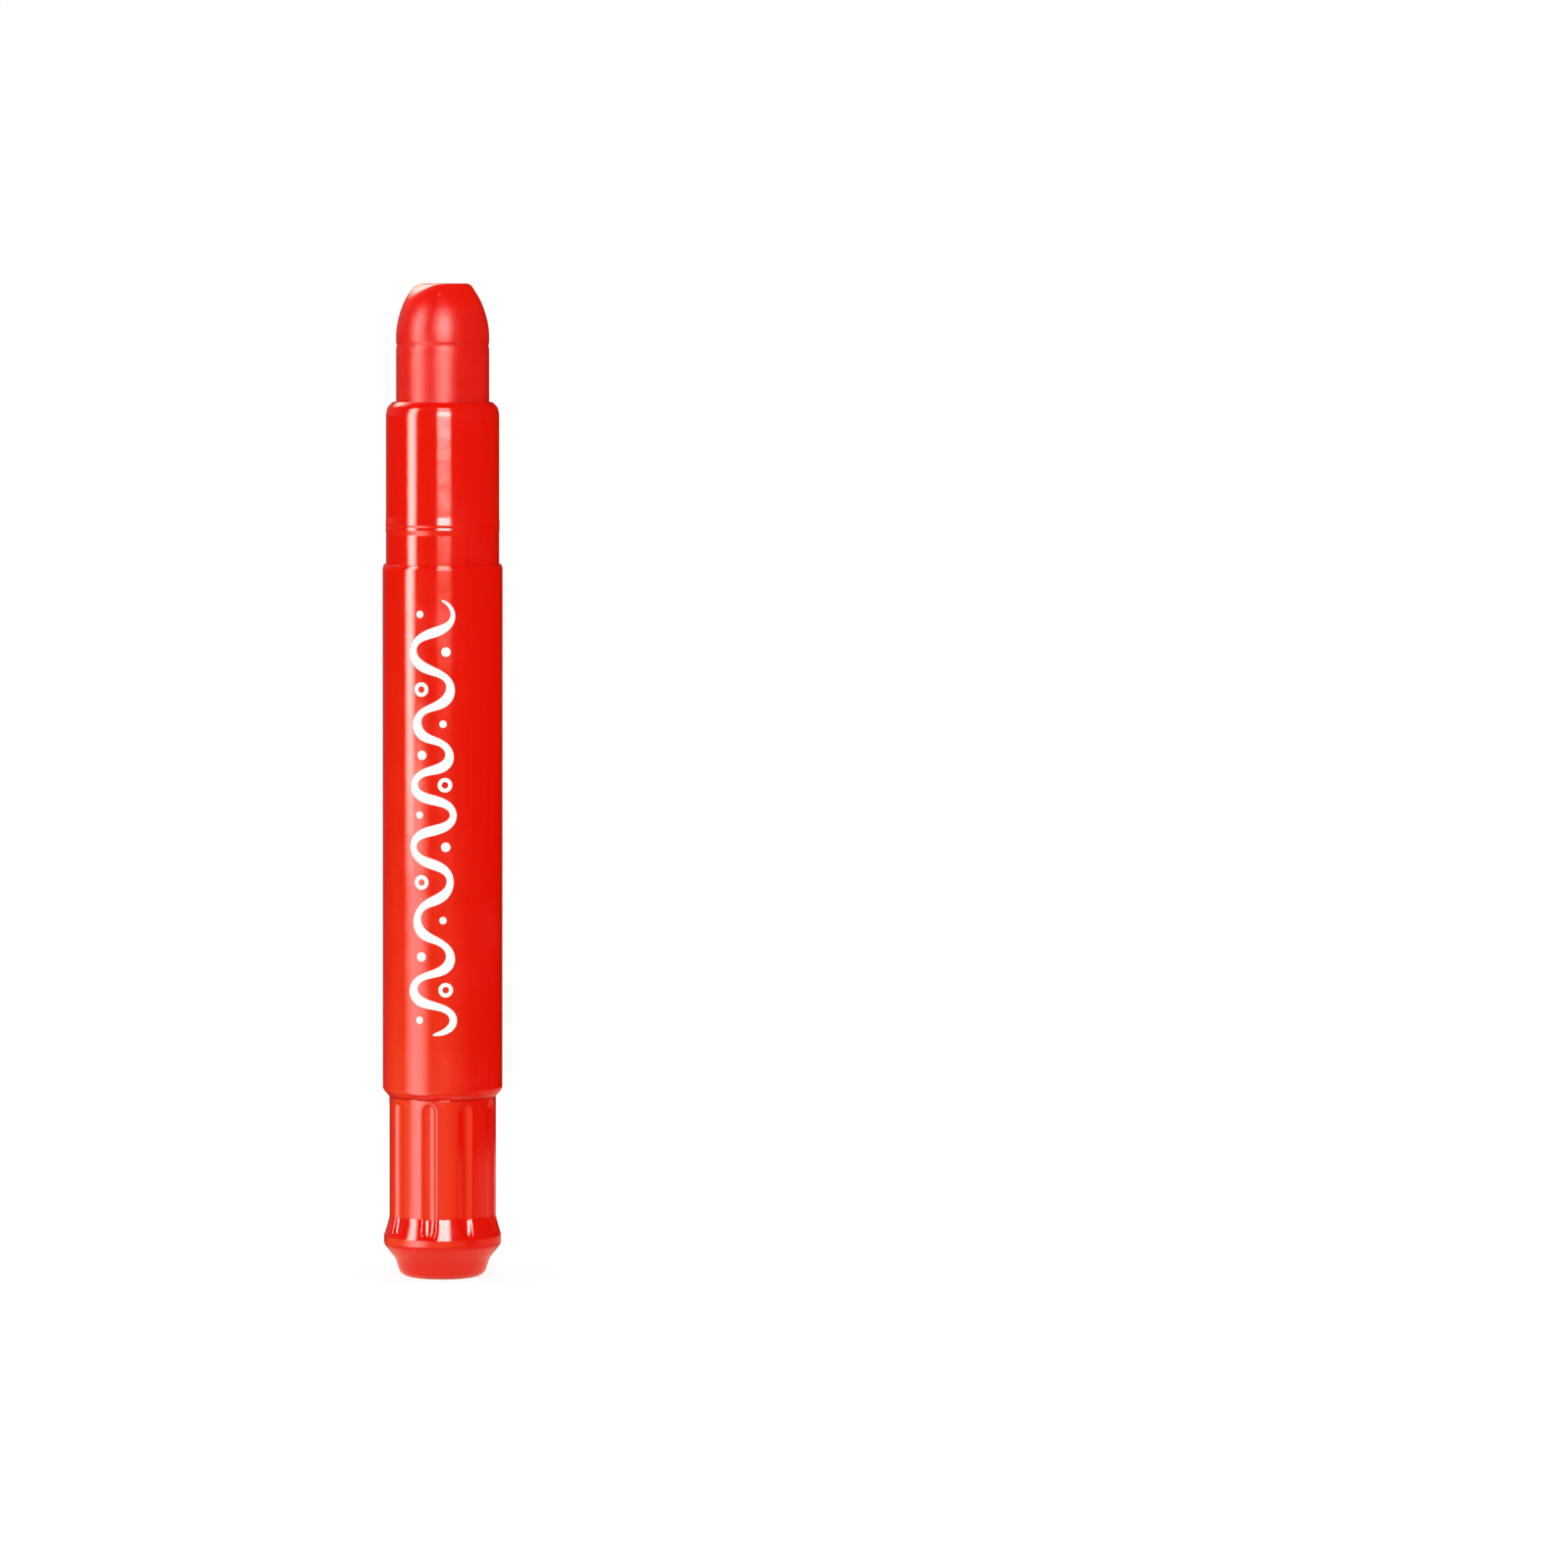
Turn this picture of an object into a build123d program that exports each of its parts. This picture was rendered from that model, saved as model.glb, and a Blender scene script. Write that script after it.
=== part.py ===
from build123d import *

import os
from math import radians, sin, sqrt, tan

# Twist crayon: a wax stick that a turning knob winds in and out of its barrel.
# Every piece lies on one upright axis. The origin is the middle of the flat foot, +Z runs up
# to the tip, and -Y is the front. Sizes are in millimetres, angles in degrees.

# Wax stick
stick_diameter = 11.64
stick_reach = 14.95  # how far the tip stands out of the mouth at rest
retracted_depth = 1.0  # how far the tip lies inside the mouth when wound right down
tip_taper = 2.37  # from the side of the stick in to the flat end, across the radius
tip_half_angle = 32.0
tip_shoulder_radius = 9.5
tip_shoulder_share = 0.9  # the most of the tip's flank that the shoulder's curve may take
tip_edge_radius = 0.6
stick_bore_clearance = 0.3  # round the screw
stick_bore_end_gap = 0.8  # above the screw when wound right down

# Barrel
slide_clearance = 0.15  # between the stick and the bores that it slides in
barrel_wall = 1.53
barrel_length = 66.38
bottom_bevel_width = 0.75
bottom_bevel_height = 0.8
bottom_bevel_round = 0.9
bottom_edge_round = 0.1
top_round_width = 0.36
top_round_height = 1.8
keyway_width = 2.2
keyway_depth = 0.5
keyway_count = 2

# Nozzle
neck_wall = 1.105
neck_length = 20.35
mouth_taper_width = 0.25
mouth_taper_height = 0.85
mouth_taper_round = 3.0
mouth_bevel_width = 0.65
mouth_bevel_height = 0.75
mouth_bevel_round = 1.2
mouth_edge_round = 0.2
mouth_inner_round = 0.08
cap_bead_height = 4.9  # middle of the snap bead, above the barrel
cap_bead_width = 2.0
cap_bead_rise = 0.05
plug_wall = 0.58
plug_length = 6.0
plug_lead = 0.25

# Carrier cup and the lug that rides in the screw's thread
carrier_floor = 4.5
cup_depth = 6.0
cup_wall = 0.8
carrier_edge = 0.3
key_clearance = 0.15  # on each side of a key and beyond its end
nut_clearance = 0.2  # round the screw's crest
lug_turns = 0.4
lug_tip_clearance = 0.2
lug_side_clearance = 0.2  # measured along the axis
lug_margin = 0.25  # from the lug to the underside of the carrier
carrier_end_gap = 0.2  # left above the keys when wound right up
carrier_low_gap = 0.45  # left under the carrier when wound right down

# Lead screw
screw_lead = 4.0
core_diameter = 4.0
thread_height = 0.8
ridge_root_width = 2.3
ridge_crest_width = 1.5
ridge_sink = 0.3  # how far the ridge is rooted in the core
thread_run_in = 0.1  # from the underside of the flange to the start of the ridge
screw_tip_run = 0.6  # above the carrier when wound right up
screw_tip_bevel = 0.5
flange_thickness = 1.2
flange_clearance = 0.5  # to the bore of the barrel
hex_across_flats = 4.4
hex_tail = 0.8  # from the end of the root up into the hub
thrust_gap = 0.15  # end play of the knob in the collar

# Retaining collar and friction ring
collar_step = 0.43  # collar seat, wider than the bore of the barrel
collar_length = 6.0
collar_recess = 0.35
collar_lead = 0.3
running_clearance = 0.05
ring_section = 1.1
ring_clearance = 0.03  # ring to collar
ring_groove_play = 0.3
groove_wall = 0.8  # round the corners of the hexagon
press_clearance = 0.02

# Twist knob
knob_step = 0.8  # knob, narrower than the barrel across the radius
knob_length = 17.97
knob_wall = 1.28  # under the flutes
knob_web = 1.7
shoulder_gap = 0.1
shoulder_round = 0.1
rim_overhang = 0.66
rim_height = 0.55
rim_round = 0.6
rim_seam_round = 0.05
flare_height = 2.9
hub_wall = 1.2
hub_gap = 0.75  # over the foot's spigot
flute_count = 9
flute_radius = 1.2
flute_depth = 0.4
flute_top_margin = 0.5
flute_bottom_margin = 0.45
first_flute_angle = -104.5

# Foot, an end plug pressed into the knob
foot_height = 4.75
foot_inset = 2.09  # edge of the flat end, before it is rounded, in from the rim
foot_edge_round = 1.3
flank_bend_inset = 1.48
flank_bend_drop = 2.53
flank_bend_round = 2.0
foot_rim_land = 0.65
foot_rim_round = 0.9
foot_spigot_length = 4.0
foot_spigot_wall = 1.1
foot_floor = 1.6

# Radii, worked outwards from the stick and from the screw
stick_radius = stick_diameter / 2
bore_radius = stick_radius + slide_clearance
barrel_radius = bore_radius + barrel_wall
neck_radius = bore_radius + neck_wall
plug_radius = bore_radius + plug_wall
plug_seat_radius = plug_radius + press_clearance
keyway_reach = bore_radius + keyway_depth
core_radius = core_diameter / 2
thread_radius = core_radius + thread_height
hex_corner_radius = hex_across_flats / sqrt(3)
groove_radius = hex_corner_radius + groove_wall
collar_bore_radius = groove_radius + ring_section + ring_clearance
collar_radius = bore_radius + collar_step
knob_spigot_radius = collar_bore_radius - running_clearance
knob_radius = barrel_radius - knob_step
rim_radius = knob_radius + rim_overhang
cavity_radius = knob_radius - flute_depth - knob_wall
hub_radius = hex_corner_radius + hub_wall

# Heights, worked up from the foot
seam_z = foot_height
foot_spigot_top_z = seam_z + foot_spigot_length
hub_bottom_z = foot_spigot_top_z + hub_gap
shoulder_z = seam_z + knob_length
barrel_bottom_z = shoulder_z + shoulder_gap
barrel_top_z = barrel_bottom_z + barrel_length
mouth_z = barrel_top_z + neck_length
tip_z = mouth_z + stick_reach
collar_bottom_z = barrel_bottom_z + collar_recess
collar_top_z = collar_bottom_z + collar_length
ring_z = (collar_bottom_z + collar_top_z) / 2
flange_bottom_z = collar_top_z + thrust_gap
flange_top_z = flange_bottom_z + flange_thickness
plug_bottom_z = barrel_top_z - plug_length
carrier_low_z = flange_top_z + carrier_low_gap
carrier_rest_z = carrier_low_z + stick_reach + retracted_depth
carrier_high_z = plug_bottom_z - carrier_end_gap - carrier_floor
stick_base_z = carrier_rest_z + carrier_floor
screw_top_z = carrier_high_z + carrier_floor + screw_tip_run

# The thread comes out of the top of the flange, and is turned about the axis until the lug
# lies half a turn above its ridge
lug_tip_radius = core_radius + lug_tip_clearance
nut_radius = thread_radius + nut_clearance
flank_slope = (ridge_root_width - ridge_crest_width) / 2 / thread_height


def lug_width(radius):
    """Width of the lug along the axis, at a radius between the screw's core and the nut."""
    ridge_width = ridge_root_width - 2 * flank_slope * (radius - core_radius)
    return screw_lead - ridge_width - 2 * lug_side_clearance


lug_root_width = lug_width(nut_radius)
lug_start_z = carrier_rest_z + lug_margin + lug_root_width / 2
ridge_sunk_width = ridge_root_width + 2 * flank_slope * ridge_sink
thread_start_z = flange_bottom_z + thread_run_in + ridge_sunk_width / 2
thread_end_z = screw_top_z - screw_tip_bevel - ridge_sunk_width / 2
thread_turn = ((lug_start_z - thread_start_z) / screw_lead - 0.5) % 1 * 360


def corner(sketch, radius, height):
    """The vertex of a half section that is nearest to a radius and a height."""
    return sketch.vertices().sort_by_distance((radius, height))[0]


os.makedirs("parts", exist_ok=True)

# Foot: a hollow end plug with a flat end, pressed into the knob from below
foot_spigot_radius = cavity_radius - press_clearance
foot_pocket_radius = foot_spigot_radius - foot_spigot_wall
with BuildPart() as end_plug:
    with BuildSketch(Plane.XZ):
        with BuildLine():
            FilletPolyline(
                (0, 0),
                (rim_radius - foot_inset, 0),
                (rim_radius - flank_bend_inset, seam_z - flank_bend_drop),
                (rim_radius, seam_z - foot_rim_land),
                (rim_radius, seam_z),
                (foot_spigot_radius, seam_z),
                (foot_spigot_radius, foot_spigot_top_z),
                (foot_pocket_radius, foot_spigot_top_z),
                (foot_pocket_radius, foot_floor),
                (0, foot_floor),
                radius=[
                    foot_edge_round,
                    flank_bend_round,
                    foot_rim_round,
                    rim_seam_round,
                    0,
                    0,
                    0,
                    0,
                ],
            )
            Line((0, foot_floor), (0, 0))
        make_face()
    revolve(axis=Axis.Z)
end_plug.part.label = "end_plug"
export_step(end_plug.part, "parts/end_plug.step")

# One flute's cutter: a round-ended rod beside the knob, which bends out along the flare
flare_top_z = seam_z + rim_height + flare_height
flare_radius = (flare_height**2 + rim_overhang**2) / (2 * rim_overhang)
flute_stand_off = flute_radius - flute_depth  # from the knob's surface out to the rod's axis
flute_axis_radius = knob_radius + flute_stand_off
flute_arch = sqrt(flute_radius**2 - flute_stand_off**2)
flute_high_z = shoulder_z - flute_top_margin - flute_arch
flute_low_z = seam_z + flute_bottom_margin + flute_arch
flute_bend_radius = flare_radius - flute_stand_off
flute_bend_depth = flare_top_z - flute_low_z
flute_low_radius = knob_radius + flare_radius - sqrt(flute_bend_radius**2 - flute_bend_depth**2)
with BuildPart() as flute_cutter:
    with BuildLine(Plane.XZ) as flute_path:
        Line((flute_axis_radius, flute_high_z), (flute_axis_radius, flare_top_z))
        TangentArc(
            (flute_axis_radius, flare_top_z),
            (flute_low_radius, flute_low_z),
            tangent=(0, -1),
        )
    with BuildSketch(Plane.XY.offset(flute_high_z)):
        with Locations((flute_axis_radius, 0)):
            Circle(flute_radius)
    sweep(path=flute_path.line)
    with Locations((flute_axis_radius, 0, flute_high_z), (flute_low_radius, 0, flute_low_z)):
        Sphere(flute_radius, rotation=(90, 0, 0))

# Twist knob: a fluted cup with a flared rim, a six-sided socket in its hub, and a spigot on
# top that turns in the collar and has a groove for the friction ring
groove_half_height = (ring_section + ring_groove_play) / 2
with BuildPart() as twist_knob:
    with BuildSketch(Plane.XZ) as knob_section:
        with BuildLine():
            Polyline((0, seam_z), (rim_radius, seam_z), (rim_radius, seam_z + rim_height))
            TangentArc(
                (knob_radius, flare_top_z),
                (rim_radius, seam_z + rim_height),
                tangent=(0, -1),
            )
            Polyline(
                (knob_radius, flare_top_z),
                (knob_radius, shoulder_z),
                (knob_spigot_radius, shoulder_z),
                (knob_spigot_radius, ring_z - groove_half_height),
                (groove_radius, ring_z - groove_half_height),
                (groove_radius, ring_z + groove_half_height),
                (knob_spigot_radius, ring_z + groove_half_height),
                (knob_spigot_radius, flange_bottom_z),
                (0, flange_bottom_z),
                (0, seam_z),
            )
        make_face()
        fillet(corner(knob_section, rim_radius, seam_z + rim_height), rim_round)
        fillet(corner(knob_section, rim_radius, seam_z), rim_seam_round)
        fillet(corner(knob_section, knob_radius, shoulder_z), shoulder_round)
    revolve(axis=Axis.Z)
    with BuildSketch(Plane.XY.offset(seam_z)):
        Circle(cavity_radius)
    extrude(amount=hub_bottom_z - seam_z, mode=Mode.SUBTRACT)
    with BuildSketch(Plane.XY.offset(hub_bottom_z)):
        Circle(cavity_radius)
        Circle(hub_radius, mode=Mode.SUBTRACT)
    extrude(amount=shoulder_z - knob_web - hub_bottom_z, mode=Mode.SUBTRACT)
    with BuildSketch(Plane.XY.offset(hub_bottom_z)):
        RegularPolygon(hex_across_flats / 2 + press_clearance, 6, major_radius=False)
    extrude(amount=flange_bottom_z - hub_bottom_z, mode=Mode.SUBTRACT)
    with PolarLocations(0, flute_count, start_angle=first_flute_angle):
        add(flute_cutter.part, mode=Mode.SUBTRACT)
twist_knob.part.label = "twist_knob"
export_step(twist_knob.part, "parts/twist_knob.step")

# Friction ring: a round rubber ring seated in the knob's groove, dragging on the collar
with BuildPart() as friction_ring:
    with BuildSketch(Plane.XZ):
        with Locations((groove_radius + ring_section / 2, ring_z)):
            Circle(ring_section / 2)
    revolve(axis=Axis.Z)
friction_ring.part.label = "friction_ring"
export_step(friction_ring.part, "parts/friction_ring.step")

# Retaining collar: the bearing ring pressed into the lower end of the barrel
with BuildPart() as retaining_collar:
    with BuildSketch(Plane.XZ) as collar_section:
        with BuildLine():
            Polyline(
                (collar_bore_radius, collar_bottom_z),
                (collar_radius, collar_bottom_z),
                (collar_radius, collar_top_z),
                (collar_bore_radius, collar_top_z),
                close=True,
            )
        make_face()
        chamfer(corner(collar_section, collar_bore_radius, collar_bottom_z), collar_lead)
        chamfer(corner(collar_section, collar_radius, collar_top_z), collar_lead)
    revolve(axis=Axis.Z)
retaining_collar.part.label = "retaining_collar"
export_step(retaining_collar.part, "parts/retaining_collar.step")

# Barrel: a plain tube with a seat at each end and two keyways along its bore
collar_seat_radius = collar_radius + press_clearance
with BuildPart() as barrel:
    with BuildSketch(Plane.XZ) as barrel_section:
        with BuildLine():
            Polyline(
                (collar_seat_radius, collar_top_z),
                (collar_seat_radius, barrel_bottom_z),
                (barrel_radius - bottom_bevel_width, barrel_bottom_z),
                (barrel_radius, barrel_bottom_z + bottom_bevel_height),
                (barrel_radius, barrel_top_z - top_round_height),
            )
            TangentArc(
                (barrel_radius, barrel_top_z - top_round_height),
                (barrel_radius - top_round_width, barrel_top_z),
                tangent=(0, 1),
            )
            Polyline(
                (barrel_radius - top_round_width, barrel_top_z),
                (plug_seat_radius, barrel_top_z),
                (plug_seat_radius, plug_bottom_z),
                (bore_radius, plug_bottom_z),
                (bore_radius, collar_top_z),
                (collar_seat_radius, collar_top_z),
            )
        make_face()
        fillet(
            corner(barrel_section, barrel_radius, barrel_bottom_z + bottom_bevel_height),
            bottom_bevel_round,
        )
        fillet(
            corner(barrel_section, barrel_radius - bottom_bevel_width, barrel_bottom_z),
            bottom_edge_round,
        )
    revolve(axis=Axis.Z)
    with BuildSketch(Plane.XY.offset(collar_top_z)):
        with PolarLocations(0, keyway_count):
            Rectangle(keyway_reach, keyway_width, align=(Align.MIN, Align.CENTER))
    extrude(amount=plug_bottom_z - collar_top_z, mode=Mode.SUBTRACT)
barrel.part.label = "barrel"
export_step(barrel.part, "parts/barrel.step")

# Nozzle: the neck that guides the stick and carries a cap, plugged into the barrel
bead_z = barrel_top_z + cap_bead_height
mouth_bevel_z = mouth_z - mouth_bevel_height
mouth_taper_z = mouth_bevel_z - mouth_taper_height
mouth_bevel_radius = neck_radius - mouth_taper_width
mouth_edge_radius = mouth_bevel_radius - mouth_bevel_width
with BuildPart() as nozzle:
    with BuildSketch(Plane.XZ) as nozzle_section:
        with BuildLine():
            Polyline(
                (bore_radius, plug_bottom_z),
                (plug_radius, plug_bottom_z),
                (plug_radius, barrel_top_z),
                (neck_radius, barrel_top_z),
                (neck_radius, bead_z - cap_bead_width / 2),
            )
            ThreePointArc(
                (neck_radius, bead_z - cap_bead_width / 2),
                (neck_radius + cap_bead_rise, bead_z),
                (neck_radius, bead_z + cap_bead_width / 2),
            )
            Polyline(
                (neck_radius, bead_z + cap_bead_width / 2),
                (neck_radius, mouth_taper_z),
                (mouth_bevel_radius, mouth_bevel_z),
                (mouth_edge_radius, mouth_z),
                (bore_radius, mouth_z),
                (bore_radius, plug_bottom_z),
            )
        make_face()
        chamfer(corner(nozzle_section, plug_radius, plug_bottom_z), plug_lead)
        fillet(corner(nozzle_section, neck_radius, mouth_taper_z), mouth_taper_round)
        fillet(corner(nozzle_section, mouth_bevel_radius, mouth_bevel_z), mouth_bevel_round)
        fillet(corner(nozzle_section, mouth_edge_radius, mouth_z), mouth_edge_round)
        fillet(corner(nozzle_section, bore_radius, mouth_z), mouth_inner_round)
    revolve(axis=Axis.Z)
nozzle.part.label = "nozzle"
export_step(nozzle.part, "parts/nozzle.step")

# Ridge of the screw's thread: a left-hand helix, so that turning the knob clockwise, seen
# from below, raises the stick
with BuildPart() as thread_ridge:
    with BuildLine() as thread_path:
        Helix(
            screw_lead,
            thread_end_z - thread_start_z,
            core_radius,
            center=(0, 0, thread_start_z),
            lefthand=True,
        )
    with BuildSketch(Plane.XZ):
        with BuildLine():
            Polyline(
                (core_radius - ridge_sink, thread_start_z - ridge_sunk_width / 2),
                (thread_radius, thread_start_z - ridge_crest_width / 2),
                (thread_radius, thread_start_z + ridge_crest_width / 2),
                (core_radius - ridge_sink, thread_start_z + ridge_sunk_width / 2),
                close=True,
            )
        make_face()
    sweep(path=thread_path.line, is_frenet=True)

# Lead screw: a six-sided root in the knob, a thrust flange over the collar, and the thread
with BuildPart() as lead_screw:
    with BuildSketch(Plane.XZ) as screw_section:
        with BuildLine():
            Polyline(
                (0, flange_bottom_z),
                (bore_radius - flange_clearance, flange_bottom_z),
                (bore_radius - flange_clearance, flange_top_z),
                (core_radius, flange_top_z),
                (core_radius, screw_top_z),
                (0, screw_top_z),
                close=True,
            )
        make_face()
        chamfer(corner(screw_section, core_radius, screw_top_z), screw_tip_bevel)
    revolve(axis=Axis.Z)
    with BuildSketch(Plane.XY.offset(hub_bottom_z + hex_tail)):
        RegularPolygon(hex_across_flats / 2, 6, major_radius=False)
    extrude(amount=flange_bottom_z - hub_bottom_z - hex_tail)
    add(thread_ridge.part, rotation=(0, 0, thread_turn))
lead_screw.part.label = "lead_screw"
export_step(lead_screw.part, "parts/lead_screw.step")

# Carrier: a cup for the foot of the stick, with keys for the barrel's keyways and, in the
# bore of its floor, a short helical lug that rides in the screw's thread
cup_radius = stick_radius - cup_wall
cup_top_z = stick_base_z + cup_depth
key_width = keyway_width - 2 * key_clearance
with BuildPart() as carrier:
    with BuildSketch(Plane.XZ) as carrier_section:
        with BuildLine():
            Polyline(
                (nut_radius, carrier_rest_z),
                (stick_radius, carrier_rest_z),
                (stick_radius, cup_top_z),
                (cup_radius, cup_top_z),
                (cup_radius, stick_base_z),
                (nut_radius, stick_base_z),
                close=True,
            )
        make_face()
        chamfer(corner(carrier_section, stick_radius, carrier_rest_z), carrier_edge)
    revolve(axis=Axis.Z)
    with BuildSketch(Plane.XY.offset(carrier_rest_z + carrier_edge)):
        with PolarLocations(0, keyway_count):
            with Locations((cup_radius, 0)):
                Rectangle(
                    keyway_reach - key_clearance - cup_radius,
                    key_width,
                    align=(Align.MIN, Align.CENTER),
                )
    extrude(amount=carrier_floor - carrier_edge)
    with BuildLine() as lug_path:
        Helix(
            screw_lead,
            screw_lead * lug_turns,
            nut_radius,
            center=(0, 0, lug_start_z),
            lefthand=True,
        )
    lug_sunk_radius = nut_radius + ridge_sink
    with BuildSketch(Plane.XZ) as lug_section:
        with BuildLine():
            Polyline(
                (lug_tip_radius, lug_start_z - lug_width(lug_tip_radius) / 2),
                (lug_sunk_radius, lug_start_z - lug_root_width / 2),
                (lug_sunk_radius, lug_start_z + lug_root_width / 2),
                (lug_tip_radius, lug_start_z + lug_width(lug_tip_radius) / 2),
                close=True,
            )
        make_face()
    sweep(path=lug_path.line, is_frenet=True)
carrier.part.label = "carrier"
export_step(carrier.part, "parts/carrier.step")

# Wax stick: its foot sits in the carrier's cup, a blind bore leaves room for the screw, and
# the tip is a blunt cone that runs into the side in a soft curve
tip_flank_length = tip_taper / sin(radians(tip_half_angle))
tip_flank_height = tip_taper / tan(radians(tip_half_angle))
shoulder_limit = tip_shoulder_share * tip_flank_length / tan(radians(tip_half_angle / 2))
stick_foot_radius = cup_radius - press_clearance
stick_bore_radius = thread_radius + stick_bore_clearance
stick_bore_top_z = screw_top_z + stick_bore_end_gap + carrier_rest_z - carrier_low_z
with BuildPart() as crayon_stick:
    with BuildSketch(Plane.XZ):
        with BuildLine():
            FilletPolyline(
                (0, stick_bore_top_z),
                (stick_bore_radius, stick_bore_top_z),
                (stick_bore_radius, stick_base_z),
                (stick_foot_radius, stick_base_z),
                (stick_foot_radius, cup_top_z),
                (stick_radius, cup_top_z),
                (stick_radius, tip_z - tip_flank_height),
                (stick_radius - tip_taper, tip_z),
                (0, tip_z),
                radius=[
                    0,
                    0,
                    0,
                    0,
                    0,
                    min(tip_shoulder_radius, shoulder_limit),
                    tip_edge_radius,
                ],
            )
            Line((0, tip_z), (0, stick_bore_top_z))
        make_face()
    revolve(axis=Axis.Z)
crayon_stick.part.label = "crayon_stick"
export_step(crayon_stick.part, "parts/crayon_stick.step")
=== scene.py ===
import math

import bmesh
import bpy
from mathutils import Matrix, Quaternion, Vector


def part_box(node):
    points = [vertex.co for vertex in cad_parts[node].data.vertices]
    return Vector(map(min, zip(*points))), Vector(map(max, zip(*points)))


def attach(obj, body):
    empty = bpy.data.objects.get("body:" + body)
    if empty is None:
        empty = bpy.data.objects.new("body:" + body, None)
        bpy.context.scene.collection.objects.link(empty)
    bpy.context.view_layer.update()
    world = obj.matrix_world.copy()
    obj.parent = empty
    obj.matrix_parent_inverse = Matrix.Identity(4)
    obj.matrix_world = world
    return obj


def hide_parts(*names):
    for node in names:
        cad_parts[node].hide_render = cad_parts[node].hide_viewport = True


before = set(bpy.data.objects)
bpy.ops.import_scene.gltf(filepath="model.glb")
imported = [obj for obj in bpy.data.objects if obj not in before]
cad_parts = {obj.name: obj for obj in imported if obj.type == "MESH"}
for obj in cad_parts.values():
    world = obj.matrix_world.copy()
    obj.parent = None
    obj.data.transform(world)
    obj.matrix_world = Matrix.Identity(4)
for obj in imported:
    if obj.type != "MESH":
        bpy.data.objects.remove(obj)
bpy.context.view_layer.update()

# Foot: a hollow end plug of gloss red plastic with a flat end to stand on. It is injection
# moulded through a gate in the middle of that end, and pressed into the knob from below.
MM = 0.001
MERGE_DISTANCE = 0.0005 * MM
TURNED_SIDES = 192


def turned_extent(node):
    """Radius, lowest height and highest height of a round node of the frame, in millimetres."""
    low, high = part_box(node)
    return high.x / MM, low.z / MM, high.z / MM


def select_points(piece, wanted):
    """In edit mode, selects the points whose place answers the test, and the edges between them."""
    mesh = bmesh.from_edit_mesh(piece.data)
    for point in mesh.verts:
        point.select = False
    mesh.select_flush(False)
    for point in mesh.verts:
        point.select = wanted(point.co)
    mesh.select_flush(True)
    bmesh.update_edit_mesh(piece.data)


def draw_half_section(name, corners):
    """Draws half of a turned piece's section, corner by corner, and then rounds its corners.
    A corner is its radius and height and, where it is rounded, the round's radius and its steps."""
    bpy.ops.object.select_all(action="DESELECT")
    bpy.ops.mesh.primitive_plane_add(size=MM)
    piece = bpy.context.object
    piece.name = name
    piece.data.name = name
    bpy.ops.object.mode_set(mode="EDIT")
    bpy.ops.mesh.select_all(action="SELECT")
    bpy.ops.mesh.merge(type="CENTER")
    places = [Vector((corner[0], 0, corner[1])) * MM for corner in corners]
    bpy.ops.transform.translate(value=places[0])
    for here, there in zip(places, places[1:]):
        bpy.ops.mesh.extrude_vertices_move(TRANSFORM_OT_translate={"value": there - here})
    for before, here, after, corner in zip(places, places[1:], places[2:], corners[1:]):
        if len(corner) == 2:
            continue
        turn = (here - before).angle(after - here)
        select_points(piece, lambda place: (place - here).length < MERGE_DISTANCE)
        bpy.ops.mesh.bevel(
            affect="VERTICES",
            offset_type="OFFSET",
            offset=corner[2] * MM * math.tan(turn / 2),
            segments=corner[3],
        )
    return piece


def spin_half_section(piece, sides):
    """Turns the drawn half section about the upright axis and closes its seam and its poles."""
    bpy.ops.mesh.select_all(action="SELECT")
    bpy.ops.mesh.remove_doubles(threshold=MERGE_DISTANCE)
    bpy.ops.mesh.select_all(action="SELECT")
    bpy.ops.mesh.spin(steps=sides, angle=math.tau, center=(0, 0, 0), axis=(0, 0, 1))
    bpy.ops.mesh.select_all(action="SELECT")
    bpy.ops.mesh.remove_doubles(threshold=MERGE_DISTANCE)
    bpy.ops.mesh.normals_make_consistent(inside=False)
    bpy.ops.object.mode_set(mode="OBJECT")


def finish_moulding(piece, sharp_angle):
    """Shades a moulding smooth, except at sharp edges, with its flat walls kept flat."""
    bpy.ops.object.select_all(action="DESELECT")
    piece.select_set(True)
    bpy.context.view_layer.objects.active = piece
    bpy.ops.object.shade_smooth_by_angle(angle=math.radians(sharp_angle))
    bpy.ops.object.modifier_add(type="WEIGHTED_NORMAL")
    piece.modifiers[-1].keep_sharp = True
    bpy.ops.object.modifier_apply(modifier=piece.modifiers[-1].name)


rim_radius, seam_z, knob_top_z = turned_extent("twist_knob")
foot_spigot_top_z = turned_extent("end_plug")[2]
foot_spigot_radius = 5.0
foot_pocket_radius = 3.9
foot_floor_z = 1.6
foot_edge_radius = rim_radius - 2.09
flank_bend_radius = rim_radius - 1.48
flank_bend_z = seam_z - 2.53
foot_rim_z = seam_z - 0.65
gate_nub_radius = 0.4
gate_nub_z = 0.08
gate_dish_radius = 1.7
gate_dish_z = 0.2
foot = draw_half_section(
    "foot",
    [
        (0, gate_nub_z),
        (gate_nub_radius, gate_nub_z, 0.06, 3),
        (gate_nub_radius + 0.1, gate_dish_z, 0.06, 3),
        (gate_dish_radius, gate_dish_z, 0.1, 3),
        (gate_dish_radius + 0.15, 0, 0.06, 3),
        (foot_edge_radius, 0, 1.3, 12),
        (flank_bend_radius, flank_bend_z, 2.0, 8),
        (rim_radius, foot_rim_z, 0.9, 10),
        (rim_radius, seam_z),
        (foot_spigot_radius, seam_z),
        (foot_spigot_radius, foot_spigot_top_z, 0.2, 3),
        (foot_pocket_radius, foot_spigot_top_z),
        (foot_pocket_radius, foot_floor_z, 0.4, 4),
        (0, foot_floor_z),
    ],
)
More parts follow.
